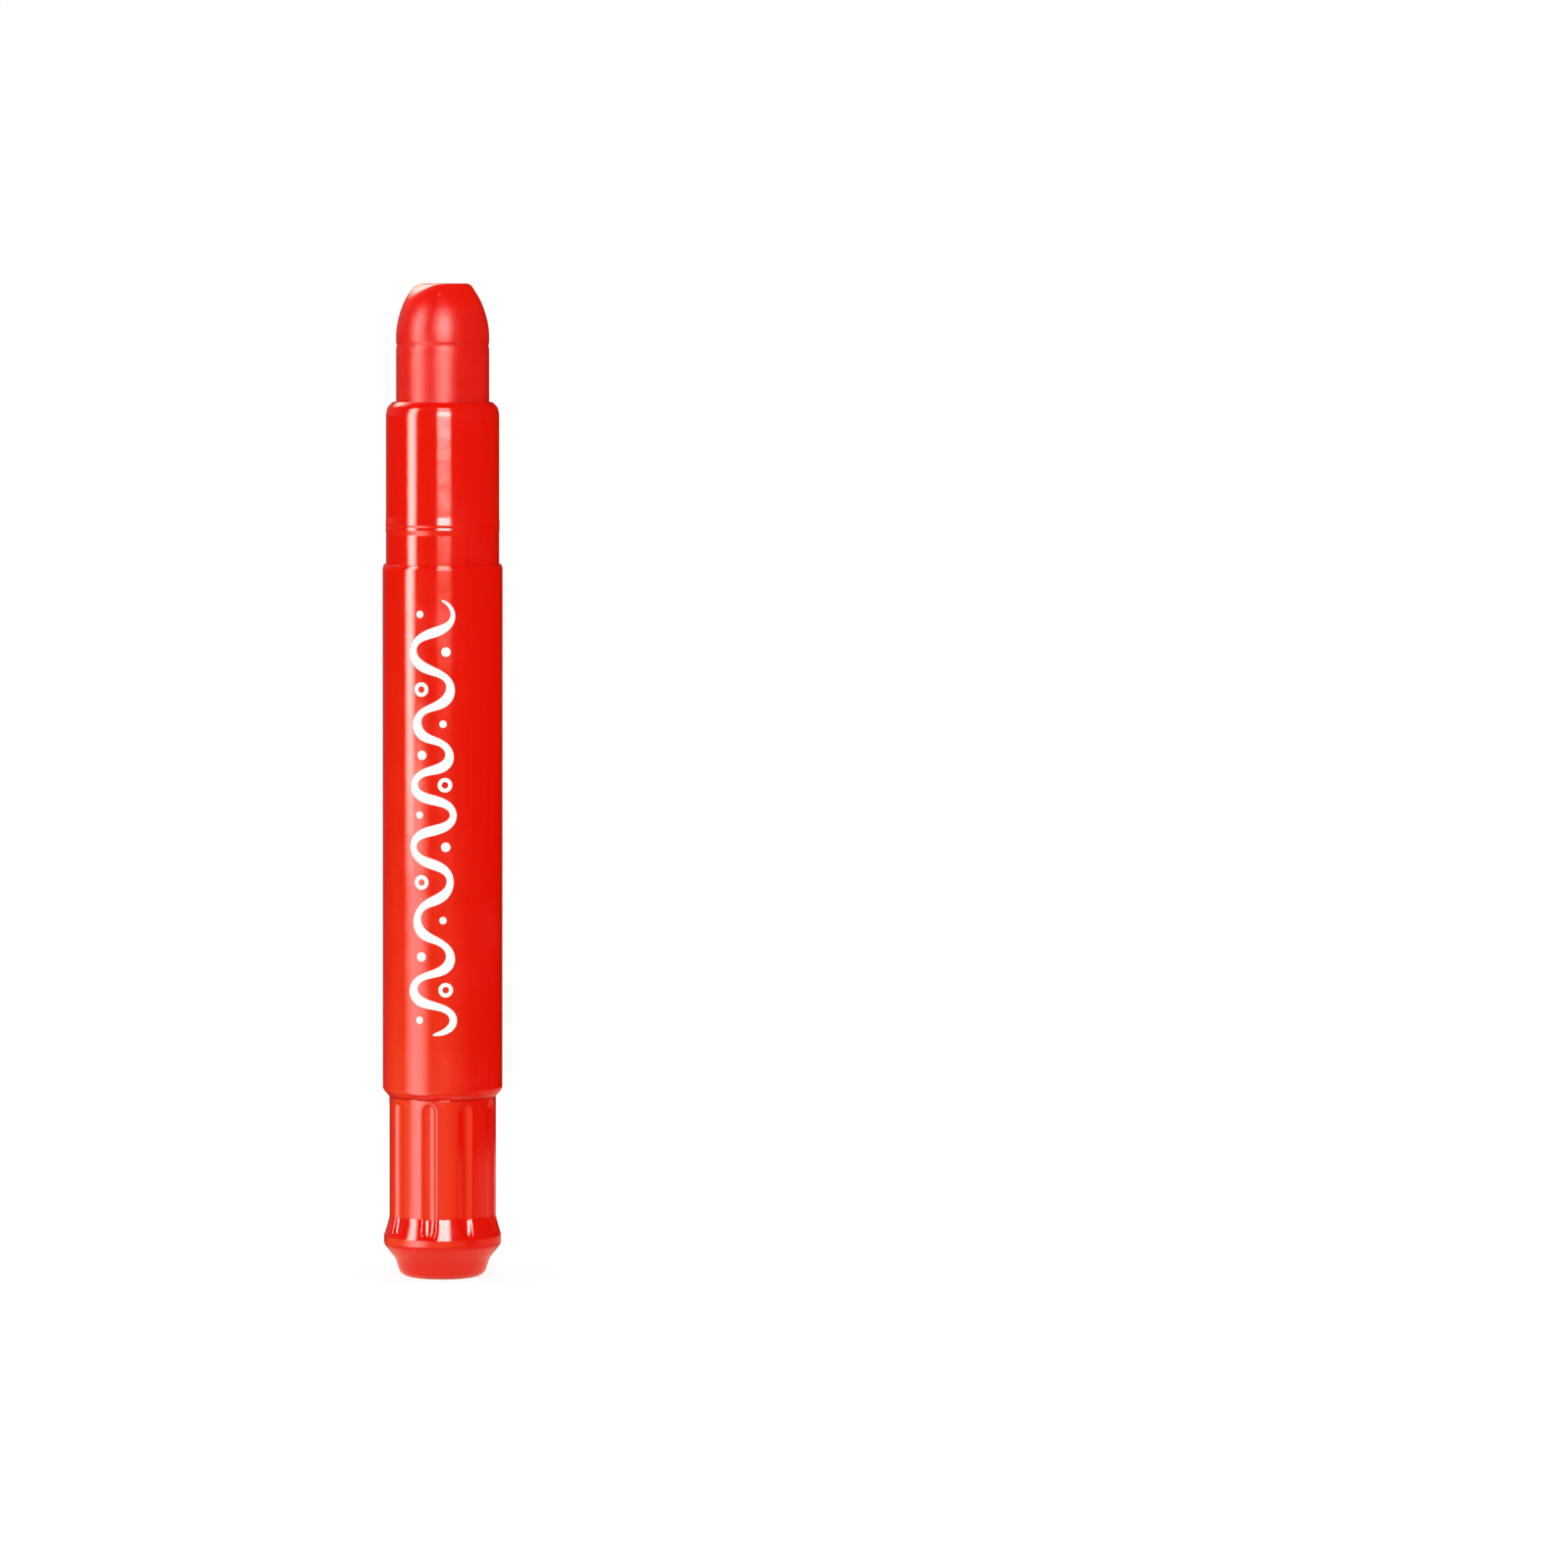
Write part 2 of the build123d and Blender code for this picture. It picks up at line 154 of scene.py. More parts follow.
spin_half_section(foot, TURNED_SIDES)
finish_moulding(foot, 40)
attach(foot, "knob")
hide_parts("end_plug")


def place_node(tree, kind, values=None, **settings):
    """Adds a node to a tree. A value that is a socket is linked, and any other value is set."""
    made = tree.nodes.new(kind)
    for setting, value in settings.items():
        setattr(made, setting, value)
    for socket, value in (values or {}).items():
        if isinstance(value, bpy.types.NodeSocket):
            tree.links.new(value, made.inputs[socket])
        else:
            made.inputs[socket].default_value = value
    return made


def new_effect(name, inputs, outputs):
    """Starts a shared effect, a node group with number sockets; gives the tree and its ends."""
    tree = bpy.data.node_groups.new(name, "ShaderNodeTree")
    for socket, value in inputs.items():
        made = tree.interface.new_socket(name=socket, in_out="INPUT", socket_type="NodeSocketFloat")
        made.default_value = value
    for socket in outputs:
        tree.interface.new_socket(name=socket, in_out="OUTPUT", socket_type="NodeSocketFloat")
    return tree, tree.nodes.new("NodeGroupInput"), tree.nodes.new("NodeGroupOutput")


def sum_of(tree, first, second, factor=1.0):
    """First plus second times a factor, as one node."""
    values = {0: second, 1: factor, 2: first}
    return place_node(tree, "ShaderNodeMath", values, operation="MULTIPLY_ADD").outputs[0]


def worked(tree, operation, first, second=0.0):
    """What a named operation makes of two values, as one node."""
    return place_node(tree, "ShaderNodeMath", {0: first, 1: second}, operation=operation).outputs[0]


def ramp_of(tree, value, low, high):
    """A value's rise from nought to one between two limits, as one node."""
    values = {"Value": value, "From Min": low, "From Max": high}
    return place_node(tree, "ShaderNodeMapRange", values, clamp=True).outputs[0]


def noise_of(tree, place, scale, detail, roughness=0.5):
    """A noise value at a place, with its grain's scale per metre."""
    values = {"Vector": place, "Scale": scale, "Detail": detail, "Roughness": roughness}
    return place_node(tree, "ShaderNodeTexNoise", values).outputs[0]


def stretched(tree, place, stretch, turn=(0, 0, 0)):
    """A place turned and stretched, so that a grain gets a direction."""
    values = {"Vector": place, "Rotation": turn, "Scale": stretch}
    return place_node(tree, "ShaderNodeMapping", values).outputs[0]


# The skin of a moulding: a faint ripple of the polished mould, streaks where the plastic flowed,
# hair scratches from handling, and patches that fingers have dulled.
skin, skin_in, skin_out = new_effect(
    "moulded_skin",
    {"Gloss": 0.1, "Dulling": 0.08, "Scratches": 0.15},
    ("Mottle", "Roughness", "Height"),
)
spot = place_node(skin, "ShaderNodeTexCoord").outputs["Object"]
ripple = noise_of(skin, spot, 420, 2)
streaks = noise_of(skin, stretched(skin, spot, (1, 1, 0.07)), 900, 3, 0.6)
patches = ramp_of(skin, noise_of(skin, spot, 130, 3, 0.6), 0.48, 0.75)
hairs = []
for slant in (0.5, -0.9, 2.2):
    lines = noise_of(skin, stretched(skin, spot, (1, 1, 0.025), (slant, slant * 0.7, 0)), 5200, 1)
    hairs.append(ramp_of(skin, lines, 0.7, 0.78))
worn = ramp_of(skin, noise_of(skin, spot, 240, 2), 0.5, 0.62)
hair = sum_of(skin, sum_of(skin, hairs[0], hairs[1]), hairs[2])
scratch = worked(skin, "MULTIPLY", hair, worn)
dulled = sum_of(skin, skin_in.outputs["Gloss"], patches, skin_in.outputs["Dulling"])
skin.links.new(sum_of(skin, dulled, scratch, skin_in.outputs["Scratches"]), skin_out.inputs["Roughness"])
skin.links.new(sum_of(skin, streaks, patches, 0.25), skin_out.inputs["Mottle"])
skin.links.new(sum_of(skin, ripple, scratch, -0.06), skin_out.inputs["Height"])


def new_material(name):
    """A material with only its shader; gives the material, its tree and the shader."""
    material = bpy.data.materials.new(name)
    material.use_nodes = True
    tree = material.node_tree
    return material, tree, tree.nodes["Principled BSDF"]


def blended(tree, share, low, high):
    """One colour turning into another by a share; a colour may be a socket."""
    mixer = place_node(tree, "ShaderNodeMix", {0: share}, data_type="RGBA")
    for place, colour in ((6, low), (7, high)):
        if isinstance(colour, bpy.types.NodeSocket):
            tree.links.new(colour, mixer.inputs[place])
        else:
            mixer.inputs[place].default_value = (*colour, 1)
    return mixer.outputs[2]


def set_relief(tree, shader, height, depth):
    """Gives a shader a fine relief, in which a height of one stands for a depth in metres."""
    values = {"Height": height, "Distance": depth, "Strength": 1.0}
    bump = place_node(tree, "ShaderNodeBump", values)
    tree.links.new(bump.outputs["Normal"], shader.inputs["Normal"])


def moulded_plastic(name, dark, light, gloss, dulling, scratches, ripple_depth):
    """A moulded plastic: two close colours mottled together, and the moulded skin."""
    material, tree, shader = new_material(name)
    values = {"Gloss": gloss, "Dulling": dulling, "Scratches": scratches}
    effect = place_node(tree, "ShaderNodeGroup", values, node_tree=skin).outputs
    shade = ramp_of(tree, effect["Mottle"], 0.3, 0.9)
    tree.links.new(blended(tree, shade, dark, light), shader.inputs["Base Color"])
    tree.links.new(effect["Roughness"], shader.inputs["Roughness"])
    set_relief(tree, shader, effect["Height"], ripple_depth)
    return material


red_plastic = moulded_plastic(
    "red_gloss_plastic",
    dark=(0.73, 0.0045, 0.0004),
    light=(0.78, 0.006, 0.0006),
    gloss=0.09,
    dulling=0.07,
    scratches=0.12,
    ripple_depth=0.012 * MM,
)
foot.data.materials.append(red_plastic)

# Knob: a fluted cup of the same red plastic with a flared rim. The core that makes its hollow
# is pulled out from below; its spigot turns in the barrel, and the screw's root sits in its hub.
KNOB_SIDES = 540
knob_radius = rim_radius - 0.66
shoulder_z = knob_top_z - 6.6
rim_top_z = seam_z + 0.5
flare_knee_z = seam_z + 2.8
ring_radius, ring_low_z, ring_high_z = turned_extent("friction_ring")
groove_radius = ring_radius - (ring_high_z - ring_low_z)
groove_low_z = ring_low_z - 0.15
groove_high_z = ring_high_z + 0.15
spigot_radius = ring_radius - 0.02
cavity_radius = foot_spigot_radius + 0.02
web_z = shoulder_z - 1.7
hub_z = foot_spigot_top_z + 0.75
hub_radius = 3.74
hub_pilot_radius = 1.5
socket_across_flats = 4.44
flute_cutter_radius = 1.2
flute_depth = 0.4
flute_stand_off = flute_cutter_radius - flute_depth
flute_half_width = math.sqrt(flute_cutter_radius**2 - flute_stand_off**2)
flute_high_z = shoulder_z - 0.5 - flute_half_width
knob = draw_half_section(
    "fluted_knob",
    [
        (cavity_radius, seam_z),
        (rim_radius, seam_z),
        (rim_radius, rim_top_z, 0.9, 8),
        (knob_radius, flare_knee_z, 3.0, 8),
        (knob_radius, flute_high_z),
        (knob_radius, shoulder_z, 0.08, 6),
        (spigot_radius, shoulder_z),
        (spigot_radius, groove_low_z),
        (groove_radius, groove_low_z),
        (groove_radius, groove_high_z),
        (spigot_radius, groove_high_z),
        (spigot_radius, knob_top_z, 0.15, 3),
        (hub_pilot_radius, knob_top_z),
        (hub_pilot_radius, hub_z),
        (hub_radius, hub_z),
        (hub_radius, web_z, 0.3, 3),
        (cavity_radius, web_z, 0.3, 3),
        (cavity_radius, seam_z),
    ],
)

# Closer rows of points where the flutes end: up their arched tops and down the straight of the flare
ARCH_CUTS = 44
FLARE_CUTS = 40
arch_z = flute_high_z - 0.01
flare_low_z = rim_top_z + 0.105
flare_high_z = flare_knee_z - 0.39
select_points(
    knob,
    lambda place: abs(place.x - knob_radius * MM) < MERGE_DISTANCE and place.z > arch_z * MM,
)
bpy.ops.mesh.subdivide(number_cuts=ARCH_CUTS)
select_points(
    knob,
    lambda place: place.x > knob_radius * MM and flare_low_z < place.z / MM < flare_high_z,
)
bpy.ops.mesh.subdivide(number_cuts=FLARE_CUTS)
spin_half_section(knob, KNOB_SIDES)

# Nine flutes, each a shallow groove with round ends and softened lips
FLUTE_COUNT = 9
FLUTE_PITCH = math.tau / FLUTE_COUNT
FIRST_FLUTE = math.radians(-104.5)
flute_lip = 0.14
flute_lip_slope = flute_half_width / flute_stand_off
flute_end_slope = 1.3
flute_end_soft = 0.12
flare_deepening = 0.35
flare_reach = flare_knee_z + 0.5 - rim_top_z
rim_fade = 0.25
flute_low_z = seam_z + 0.55 + flute_half_width


def flute_cut(across, height):
    """Depth of a flute at a place across and along it, with steep ends and a soft lip. It is deeper
    on the flare, because its floor runs straighter than the flare."""
    beyond = max(flute_low_z - height, height - flute_high_z, 0)
    if abs(across) < flute_half_width:
        cut = math.sqrt(flute_cutter_radius**2 - across**2) - flute_stand_off
    else:
        cut = (flute_half_width - abs(across)) * flute_lip_slope
    if beyond > 0:
        end_cut = (flute_half_width - math.hypot(across, beyond)) * flute_end_slope
        cut = (cut + end_cut - math.hypot(cut - end_cut, min(beyond / 2, flute_end_soft))) / 2
    above_rim = height - rim_top_z
    deeper = 1 + flare_deepening * (1 - min(above_rim / flare_reach, 1))
    return (cut + math.hypot(cut, flute_lip)) / 2 * deeper * min(above_rim / rim_fade, 1)


for point in knob.data.vertices:
    radius = math.hypot(point.co.x, point.co.y) / MM
    height = point.co.z / MM
    if radius < knob_radius - 0.01 or not rim_top_z < height < shoulder_z - 0.15:
        continue
    turn = math.atan2(point.co.y, point.co.x) - FIRST_FLUTE
    turn -= FLUTE_PITCH * round(turn / FLUTE_PITCH)
    kept = (radius - flute_cut(radius * turn, height)) / radius
    point.co.x *= kept
    point.co.y *= kept

# Six-sided socket through the hub for the screw's root
bpy.ops.object.select_all(action="DESELECT")
bpy.ops.mesh.primitive_cylinder_add(
    vertices=6,
    radius=socket_across_flats / math.sqrt(3) * MM,
    depth=(knob_top_z - hub_z + 2) * MM,
    location=(0, 0, (knob_top_z + hub_z) / 2 * MM),
)
socket_cutter = bpy.context.object


def cut_away(piece, cutter):
    """Cuts the cutter out of a piece and takes the cutter away."""
    bpy.ops.object.select_all(action="DESELECT")
    piece.select_set(True)
    bpy.context.view_layer.objects.active = piece
    bpy.ops.object.modifier_add(type="BOOLEAN")
    piece.modifiers[-1].operation = "DIFFERENCE"
    piece.modifiers[-1].solver = "EXACT"
    piece.modifiers[-1].object = cutter
    bpy.ops.object.modifier_apply(modifier=piece.modifiers[-1].name)
    bpy.data.objects.remove(cutter)


cut_away(knob, socket_cutter)
finish_moulding(knob, 40)
knob.data.materials.append(red_plastic)
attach(knob, "knob")
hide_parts("twist_knob")

# Barrel: a thick gloss tube of the same red plastic, moulded round a core that leaves two
# keyways along its bore, with its lower edge bevelled and its upper edge eased.
barrel_radius, barrel_bottom_z, barrel_top_z = turned_extent("barrel")
bead_radius, plug_bottom_z, mouth_z = turned_extent("nozzle")
neck_radius = bead_radius - 0.05
barrel_low_z = barrel_bottom_z - 0.04
barrel_edge_z = barrel_top_z + 0.28
low_bevel_width = 0.75
low_bevel_height = 0.8
top_ease_width = 0.16
top_ease_height = 0.5
collar_radius, collar_top_z = turned_extent("retaining_collar")[::2]
stick_radius, stick_base_z, tip_z = turned_extent("crayon_stick")
bore_radius = stick_radius + 0.15
collar_seat_radius = collar_radius + 0.02
neck_seat_radius = neck_radius + 0.02
plug_seat_radius = bore_radius + 0.6
keyway_reach = bore_radius + 0.5
keyway_width = 2.2
barrel = draw_half_section(
    "barrel_tube",
    [
        (collar_seat_radius, collar_top_z),
        (collar_seat_radius, barrel_low_z, 0.12, 3),
        (barrel_radius - low_bevel_width, barrel_low_z, 0.06, 6),
        (barrel_radius, barrel_bottom_z + low_bevel_height, 0.9, 10),
        (barrel_radius, barrel_edge_z - top_ease_height, 0.3, 6),
        (barrel_radius - top_ease_width, barrel_edge_z, 0.13, 6),
        (neck_seat_radius, barrel_edge_z, 0.05, 3),
        (neck_seat_radius, barrel_top_z),
        (plug_seat_radius, barrel_top_z),
        (plug_seat_radius, plug_bottom_z),
        (bore_radius, plug_bottom_z),
        (bore_radius, collar_top_z),
        (collar_seat_radius, collar_top_z),
    ],
)
spin_half_section(barrel, TURNED_SIDES)
bpy.ops.object.select_all(action="DESELECT")
bpy.ops.mesh.primitive_cube_add(size=1, location=(0, 0, (collar_top_z + plug_bottom_z) / 2 * MM))
keyway_cutter = bpy.context.object
keyway_cutter.scale = (2 * keyway_reach * MM, keyway_width * MM, (plug_bottom_z - collar_top_z) * MM)
bpy.ops.object.transform_apply(location=True, rotation=True, scale=True)
cut_away(barrel, keyway_cutter)
finish_moulding(barrel, 40)
barrel.data.materials.append(red_plastic)
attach(barrel, "barrel")
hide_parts("barrel")

# Print: a loose crayon squiggle with dots and rings in its bends, printed in white ink along the
# front of the barrel in one pass. The ink is a thin film that handling has pricked in places.
INK_LANES = 6
ink_film = 0.025
ink_radius = barrel_radius + 0.015
squiggle_middle = -1.25
squiggle_low_z = 31.0
squiggle_length = 54.0
squiggle_waves = 6.5
squiggle_stroke = 0.52
ring_stroke_half = 0.24
ring_size = 0.66
large_dot_size = 0.58
small_dot_size = 0.45


def draw_stroke(name, steps, middle_of, half_width_of):
    """A stroke of ink wrapped on the barrel. Its middle, a place to the right and a height, and its
    half width follow the share of its length."""
    bpy.ops.object.select_all(action="DESELECT")
    bpy.ops.mesh.primitive_grid_add(x_subdivisions=INK_LANES, y_subdivisions=steps, size=1)
    stroke = bpy.context.object
    stroke.name = name
    stroke.data.name = name
    for point in stroke.data.vertices:
        share = min(max(point.co.y + 0.5, 0), 1)
        before = Vector(middle_of(max(share - 0.001, 0)))
        after = Vector(middle_of(min(share + 0.001, 1)))
        across = Vector((after.y - before.y, before.x - after.x)).normalized()
        place = Vector(middle_of(share)) + across * (2 * point.co.x * half_width_of(share))
        bearing = place.x / barrel_radius
        wrapped = Vector((math.sin(bearing) * ink_radius, -math.cos(bearing) * ink_radius, place.y))
        point.co = wrapped * MM
    return stroke


def straying(share):
    """How far the squiggle's waves stray from even ones, as a share of its length."""
    return 0.012 * math.sin(math.tau * 1.7 * share)


def squiggle_path(share):
    """Middle of the squiggle, whose waves are a little uneven, as a hand draws them."""
    turn = math.tau * squiggle_waves * (share + straying(share))
    swing = 2.3 + 0.3 * math.sin(math.tau * 2.3 * share + 0.8)
    lean = -0.3 * math.sin(2 * turn)
    return squiggle_middle + swing * math.sin(turn), squiggle_low_z + squiggle_length * share + lean


def squiggle_half_width(share):
    """Half of the squiggle's width: it swells in its bends and runs out at both ends."""
    run_out = min(share / 0.04, (1 - share) / 0.07, 1)
    swell = 1 + 0.2 * math.sin(math.tau * 2 * squiggle_waves * share + 0.6)
    return squiggle_stroke * math.sqrt(max(run_out, 0)) * swell


def dot_stroke(name, side, height, size):
    """A round dot of ink."""
    return draw_stroke(
        name,
        24,
        lambda share: (side, height - size * math.cos(math.pi * share)),
        lambda share: size * math.sin(math.pi * share),
    )


def ring_stroke(name, side, height, size):
    """A round ring of ink."""
    return draw_stroke(
        name,
        48,
        lambda share: (
            side + size * math.sin(math.tau * share),
            height + size * math.cos(math.tau * share),
        ),
        lambda share: ring_stroke_half,
    )


def share_at_bend(bend):
    """Share of the squiggle's length at which one of its bends lies, found in four closer steps."""
    even_share = (bend + 0.5) / (2 * squiggle_waves)
    share = even_share
    for step in range(4):
        share = even_share - straying(share)
    return share


strokes = [draw_stroke("print", 720, squiggle_path, squiggle_half_width)]
for bend in range(int(2 * squiggle_waves)):
    bend_side, bend_z = squiggle_path(share_at_bend(bend))
    opposite = squiggle_middle - 0.65 * (bend_side - squiggle_middle)
    if bend % 3 == 1:
        strokes.append(ring_stroke("print_ring", opposite, bend_z, ring_size))
    else:
        dot_size = large_dot_size if bend % 3 else small_dot_size
        strokes.append(dot_stroke("print_dot", opposite, bend_z, dot_size))
bpy.ops.object.select_all(action="DESELECT")
for stroke in strokes:
    stroke.select_set(True)
bpy.context.view_layer.objects.active = strokes[0]
bpy.ops.object.join()
ink_print = bpy.context.object
bpy.ops.object.mode_set(mode="EDIT")
bpy.ops.mesh.select_all(action="SELECT")
bpy.ops.mesh.remove_doubles(threshold=MERGE_DISTANCE)
bpy.ops.object.mode_set(mode="OBJECT")
bpy.ops.object.modifier_add(type="SOLIDIFY")
ink_print.modifiers[-1].thickness = ink_film * MM
ink_print.modifiers[-1].offset = -1
bpy.ops.object.modifier_apply(modifier=ink_print.modifiers[-1].name)
bpy.ops.object.shade_smooth_by_angle(angle=math.radians(40))
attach(ink_print, "barrel")


ink, ink_tree, ink_shader = new_material("white_ink")
ink_spot = place_node(ink_tree, "ShaderNodeTexCoord").outputs["Object"]
ink_grain = noise_of(ink_tree, ink_spot, 3200, 3, 0.6)
pricks = ramp_of(ink_tree, noise_of(ink_tree, ink_spot, 5600, 1), 0.7, 0.74)
handled = ramp_of(ink_tree, noise_of(ink_tree, ink_spot, 260, 2), 0.52, 0.62)
bare = worked(ink_tree, "MULTIPLY", pricks, handled)
ink_colour = blended(ink_tree, bare, (0.93, 0.92, 0.9), (0.75, 0.02, 0.01))
ink_tree.links.new(ink_colour, ink_shader.inputs["Base Color"])
ink_tree.links.new(sum_of(ink_tree, 0.28, ink_grain, 0.2), ink_shader.inputs["Roughness"])
set_relief(ink_tree, ink_shader, sum_of(ink_tree, ink_grain, bare, -0.8), 0.006 * MM)
ink_print.data.materials.append(ink)

# Neck: the red nozzle that guides the stick, moulded by itself and plugged into the barrel.
# A cap pushes onto it and snaps over the low double bead near its foot.
neck_plug_radius = bore_radius + 0.58
lip_z = mouth_z + 0.18
plug_lead = 0.25
bead_z = barrel_top_z + 4.65
crest_gap = 0.6
crest_dip = 0.03
mouth_taper_width = 0.2
mouth_taper_height = 1.4
mouth_bevel_width = 0.65
mouth_bevel_height = 0.64
neck = draw_half_section(
    "neck",
    [
        (bore_radius, plug_bottom_z),
        (neck_plug_radius - plug_lead, plug_bottom_z),
        (neck_plug_radius, plug_bottom_z + plug_lead),
        (neck_plug_radius, barrel_top_z),
        (neck_radius, barrel_top_z),
        (neck_radius, bead_z - 0.65, 1.5, 4),
        (bead_radius, bead_z, 0.8, 6),
        (bead_radius - crest_dip, bead_z + crest_gap / 2, 0.5, 4),
        (bead_radius, bead_z + crest_gap, 0.8, 6),
        (neck_radius, bead_z + 1.5, 6.0, 6),
        (neck_radius, lip_z - mouth_taper_height, 2.4, 12),
        (neck_radius - mouth_taper_width, lip_z - mouth_bevel_height, 0.8, 10),
        (neck_radius - mouth_taper_width - mouth_bevel_width, lip_z, 0.2, 6),
        (bore_radius, lip_z, 0.08, 4),
        (bore_radius, plug_bottom_z),
    ],
)
spin_half_section(neck, TURNED_SIDES)
finish_moulding(neck, 40)
neck.data.materials.append(red_plastic)
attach(neck, "barrel")
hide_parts("nozzle")

# Inside: the collar that holds the knob, the lead screw and the carrier that winds up and down
# it, all of unpigmented plastic, and the knob's friction ring of black rubber.
natural_plastic = moulded_plastic(
    "natural_plastic",
    dark=(0.74, 0.71, 0.63),
    light=(0.84, 0.82, 0.76),
    gloss=0.36,
    dulling=0.12,
    scratches=0.15,
    ripple_depth=0.02 * MM,
)
black_rubber = moulded_plastic(
    "black_rubber",
    dark=(0.012, 0.012, 0.012),
    light=(0.035, 0.034, 0.033),
    gloss=0.62,
    dulling=0.2,
    scratches=0.1,
    ripple_depth=0.03 * MM,
)
for node, material in (
    ("retaining_collar", natural_plastic),
    ("lead_screw", natural_plastic),
    ("carrier", natural_plastic),
    ("friction_ring", black_rubber),
):
    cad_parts[node].data.materials.clear()
    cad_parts[node].data.materials.append(material)

# Wax stick: red pigmented wax cast in a split mould, with a blunt cone tip. The joint of the
# mould leaves a fine ring under the tip, the wax below it shows faint chill ripples, and use has
# dulled the tip.
cup_top_z = stick_base_z + 6.0
stick_bore_top_z = 100.35
stick_bore_radius = 3.1
stick_foot_radius = 5.0
tip_flat_radius = stick_radius - 2.37
tip_shoulder_z = tip_z - 2.37 / math.tan(math.radians(32))
mould_ring_z = 116.75
mould_ring_half_width = 0.42
mould_ring_depth = 0.11
tip_flat_rings = (2.75, 2.5, 2.2, 1.8, 1.2, 0)
stick = draw_half_section(
    "wax_stick",
    [
        (0, stick_bore_top_z),
        (stick_bore_radius, stick_bore_top_z),
        (stick_bore_radius, stick_base_z),
        (stick_foot_radius, stick_base_z),
        (stick_foot_radius, cup_top_z),
        (stick_radius, cup_top_z),
        (stick_radius, mould_ring_z - mould_ring_half_width, 1.0, 4),
        (stick_radius - mould_ring_depth, mould_ring_z, 0.8, 6),
        (stick_radius, mould_ring_z + mould_ring_half_width, 1.0, 4),
        (stick_radius, tip_shoulder_z, 9.4, 24),
        (tip_flat_radius, tip_z, 0.9, 16),
        *((radius, tip_z) for radius in tip_flat_rings),
    ],
)
FLANK_CUTS = 12
flank_low_z = tip_z - 1.6
flank_high_z = tip_z - 0.4
select_points(stick, lambda place: flank_low_z < place.z / MM < flank_high_z)
bpy.ops.mesh.subdivide(number_cuts=FLANK_CUTS)
spin_half_section(stick, TURNED_SIDES)

# A small facet at the left front of the tip's edge, where drawing has worn it off
wear_bearing = math.radians(-65)
wear_rise = math.radians(60)
wear_height = 1.12
wear_soft = 0.22
wear_way = Vector((math.sin(wear_bearing), -math.cos(wear_bearing), math.tan(wear_rise))).normalized()
wear_level = wear_way.z * tip_z + wear_height
for point in stick.data.vertices:
    beyond = wear_way.dot(point.co) / MM - wear_level
    point.co -= wear_way * (MM * (beyond + math.hypot(beyond, wear_soft)) / 2)
finish_moulding(stick, 50)
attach(stick, "carrier")
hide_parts("crayon_stick")
wax, wax_tree, wax_shader = new_material("red_wax")
wax_spot = place_node(wax_tree, "ShaderNodeTexCoord").outputs["Object"]
wax_height = place_node(wax_tree, "ShaderNodeSeparateXYZ", {0: wax_spot}).outputs["Z"]
clouds = noise_of(wax_tree, wax_spot, 260, 3, 0.55)
grains = noise_of(wax_tree, wax_spot, 2600, 3, 0.6)
dust = noise_of(wax_tree, wax_spot, 10000, 1)
specks = ramp_of(wax_tree, noise_of(wax_tree, wax_spot, 1100, 1), 0.77, 0.8)
drawn_out = stretched(wax_tree, wax_spot, (1, 1, 0.5))
bloom = ramp_of(wax_tree, noise_of(wax_tree, drawn_out, 420, 4, 0.65), 0.56, 0.78)
chill = noise_of(wax_tree, stretched(wax_tree, wax_spot, (0.06, 0.06, 1)), 900, 2)
below_ring = ramp_of(wax_tree, wax_height, mould_ring_z * MM, (mould_ring_z - 1.5) * MM)
cloudy = ramp_of(wax_tree, clouds, 0.3, 0.7)
wax_colour = blended(wax_tree, cloudy, (0.7, 0.005, 0.0008), (0.77, 0.0075, 0.0014))
wax_colour = blended(wax_tree, sum_of(wax_tree, 0.0, bloom, 0.02), wax_colour, (0.8, 0.3, 0.26))
wax_colour = blended(wax_tree, sum_of(wax_tree, 0.0, specks, 0.25), wax_colour, (0.85, 0.25, 0.2))
wax_tree.links.new(wax_colour, wax_shader.inputs["Base Color"])
wax_gloss = sum_of(wax_tree, sum_of(wax_tree, 0.16, bloom, 0.05), grains, 0.06)
wax_tree.links.new(wax_gloss, wax_shader.inputs["Roughness"])
wax_relief = worked(wax_tree, "MULTIPLY", chill, below_ring)
wax_relief = sum_of(wax_tree, wax_relief, grains, 0.04)
wax_relief = sum_of(wax_tree, wax_relief, clouds, 0.5)
wax_relief = sum_of(wax_tree, wax_relief, dust, 0.85)
set_relief(wax_tree, wax_shader, wax_relief, 0.03 * MM)


def along(tree, place, way):
    """How far a place lies along a direction, as one node."""
    values = {0: place, 1: way}
    return place_node(tree, "ShaderNodeVectorMath", values, operation="DOT_PRODUCT").outputs["Value"]


# The shine of the mould is left below the tip, and paper has rubbed the worn facet smooth
wear_depth = along(wax_tree, wax_spot, wear_way)
rubbed = ramp_of(wax_tree, wear_depth, (wear_level - 0.5) * MM, (wear_level - 0.2) * MM)
cast_shine = ramp_of(wax_tree, wax_height, (tip_z - 2.6) * MM, (tip_z - 4.3) * MM)
shine = worked(wax_tree, "MAXIMUM", rubbed, cast_shine)
wax_tree.links.new(sum_of(wax_tree, 0.06, shine, 0.3), wax_shader.inputs["Specular IOR Level"])
stick.data.materials.append(wax)

# Floor: a plain pale studio table. What a reflection sees of it is set apart from its even white
# and is painted light, a glow for reflection rays only: a broad amber glow in front, a painted
# reflection of the left card, painted pink bounce round the foot, and painted pink at the right and behind.
bpy.ops.object.select_all(action="DESELECT")
bpy.ops.mesh.primitive_plane_add(size=30)
floor = bpy.context.object
floor.name = "floor"
floor_material, floor_tree, floor_shader = new_material("pale_table")
floor_shader.inputs["Base Color"].default_value = (0.9, 0.9, 0.9, 1)
floor_shader.inputs["Roughness"].default_value = 0.6
floor_shader.inputs["Specular IOR Level"].default_value = 0.0


